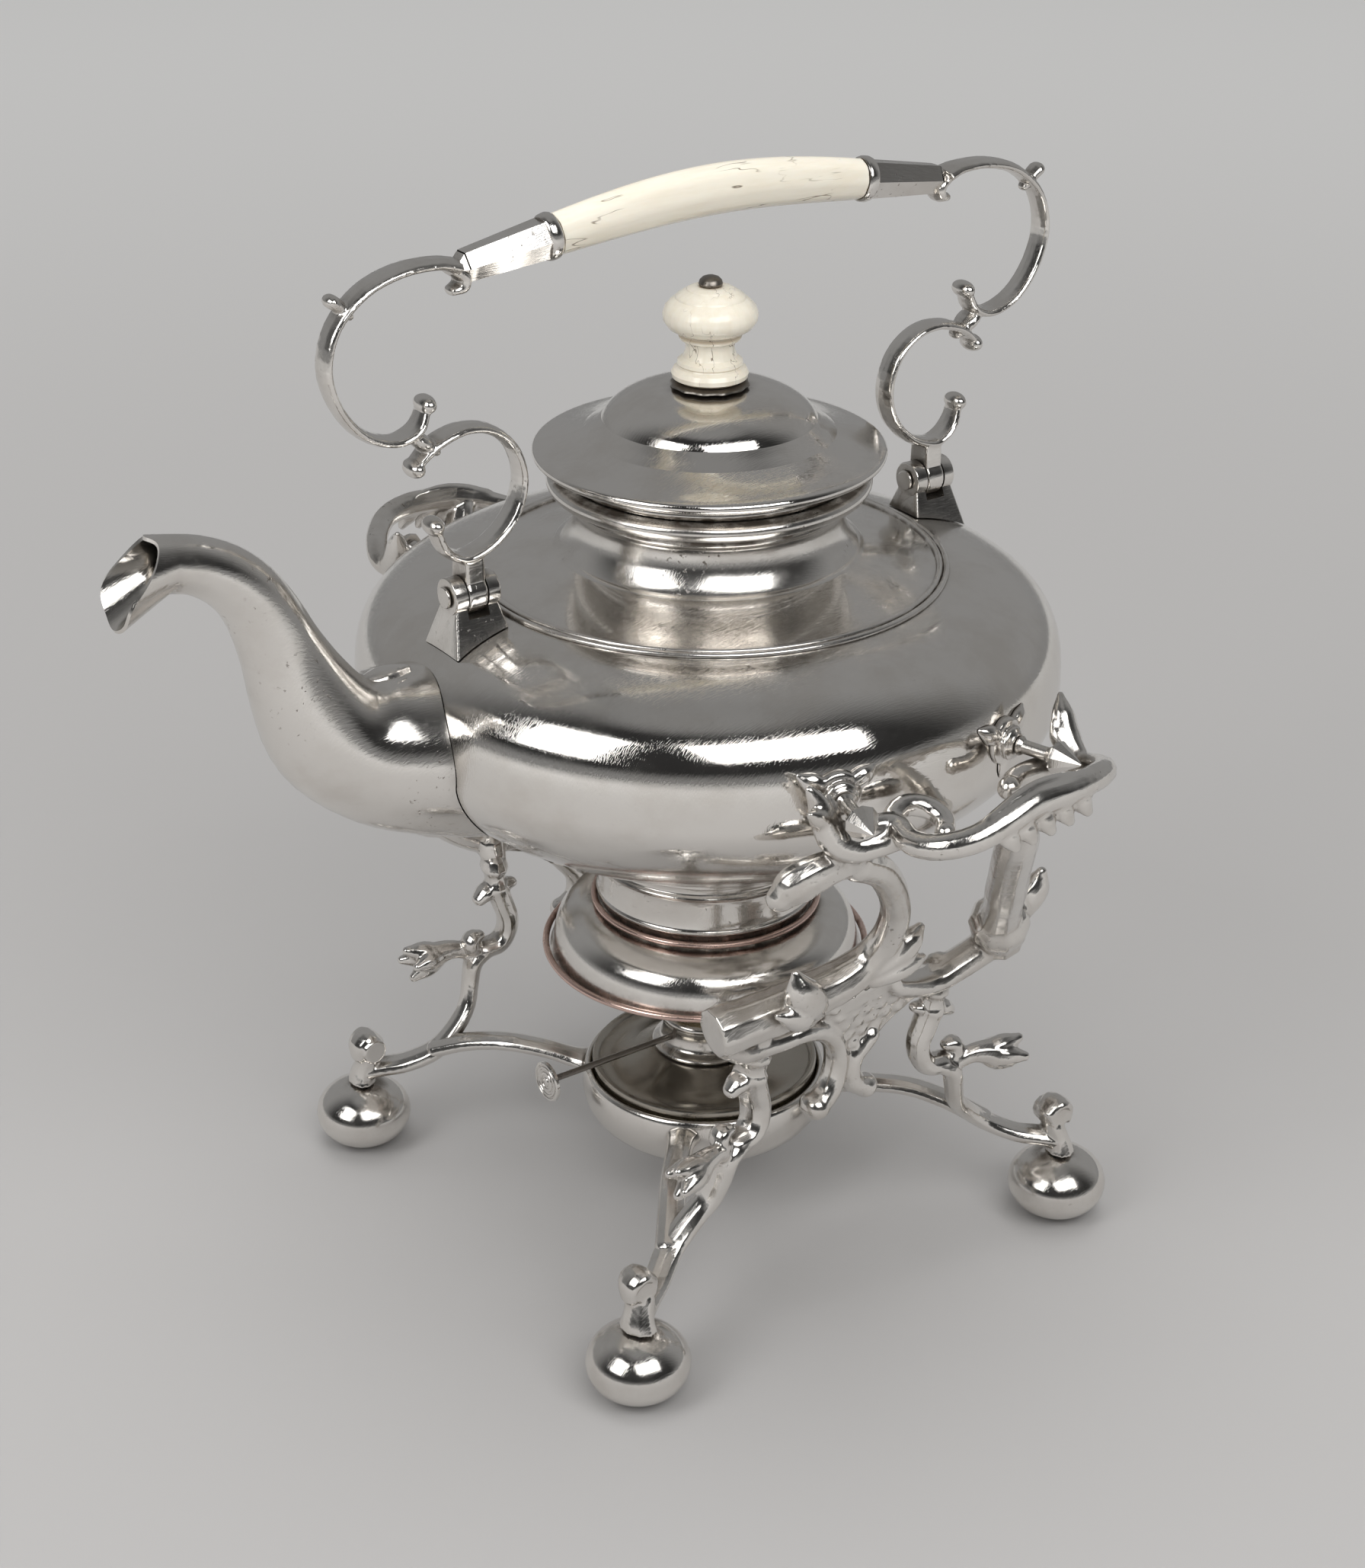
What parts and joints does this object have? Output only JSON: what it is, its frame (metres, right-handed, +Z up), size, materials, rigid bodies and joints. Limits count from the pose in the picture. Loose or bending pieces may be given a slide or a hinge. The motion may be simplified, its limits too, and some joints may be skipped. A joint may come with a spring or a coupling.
{
  "type": "spirit kettle on stand",
  "caption": "Squat round silver tea kettle with a curved spout, domed lid and scrolled bail handle, resting in branch brackets on a ball-footed stand over a spirit lamp.",
  "frame": {"origin": "middle of the whole object's base, on the floor", "axes": "+Z up; the spout and the wick winder point to -X; -Y is the side of the near bracket"},
  "size_m": [0.343, 0.3176, 0.3705],
  "materials": {
    "silver": "aged silver plate with soft reflections",
    "dark_silver": "tarnished silver plate",
    "copper_wear": "plate worn through to copper",
    "ivory": "polished cream ivory with brown veins",
    "steel": "darkened steel",
    "brass": "aged brass",
    "wick": "flat woven cotton"
  },
  "bodies": {
    "stand": {"leg_front": "silver", "leg_right": "silver", "leg_left": "silver", "leg_back": "silver", "foot_ball_front": "silver", "foot_ball_right": "silver", "foot_ball_left": "silver", "foot_ball_back": "silver", "strut_front": "silver", "strut_right": "silver", "strut_left": "silver", "strut_back": "silver", "bracket_near": "silver", "bracket_far": "silver", "lamp_bowl": "silver"},
    "lamp": {"lamp_reservoir": "brass", "lamp_top": "dark_silver", "lamp_collar": "silver", "burner_top": "brass"},
    "wick_strip": {"wick": "wick"},
    "wick_key": {"wick_rod": "steel", "wick_wheel_1": "brass", "wick_wheel_2": "brass", "wick_disc": "silver"},
    "kettle": {"kettle_body": "silver", "shoulder_wire": "silver", "neck_collar": "silver", "spout": "silver", "kettle_foot": "silver", "foot_rim_wire": "copper_wear", "foot_neck_wire": "copper_wear", "bail_lug_left": "silver", "bail_lug_right": "silver", "hinge_pin_left": "silver", "hinge_pin_right": "silver", "stud_boss_1": "silver", "stud_boss_2": "silver", "stud_boss_3": "silver", "stud_boss_4": "silver", "stud_1": "silver", "stud_2": "silver", "stud_3": "silver", "stud_4": "silver"},
    "lid": {"lid_shell": "silver", "lid_bezel": "silver", "knob_washer": "dark_silver", "lid_knob": "ivory", "knob_rod": "steel"},
    "bail": {"bail_arm_left": "silver", "bail_arm_right": "silver", "grip_ferrule_left": "silver", "grip_ferrule_right": "silver", "bail_grip": "ivory"}
  },
  "joints": [
    {"name": "kettle_lift", "type": "slide", "parent": "stand", "child": "kettle", "axis": [0, 0, 1], "range_m": [0, 0.06]},
    {"name": "lid_lift", "type": "slide", "parent": "kettle", "child": "lid", "axis": [0, 0, 1], "range_m": [0, 0.022]},
    {"name": "bail_swing", "type": "hinge", "parent": "kettle", "child": "bail", "pos_m": [0.03476, 0, 0.2473], "axis": [1, 0, 0], "range_deg": [-85, 85]},
    {"name": "lamp_lift", "type": "slide", "parent": "stand", "child": "lamp", "axis": [0, 0, 1], "range_m": [0, 0.02]},
    {"name": "key_turn", "type": "hinge", "parent": "lamp", "child": "wick_key", "pos_m": [0.03476, 0, 0.0625], "axis": [1, 0, 0], "range_deg": [0, 205]},
    {"name": "wick_rise", "type": "slide", "parent": "lamp", "child": "wick_strip", "axis": [0, 0, 1], "range_m": [0, 0.0096]}
  ],
  "couplings": [
    {"joint": "key_turn", "follows": "wick_rise", "rad_per_m": 357}
  ]
}
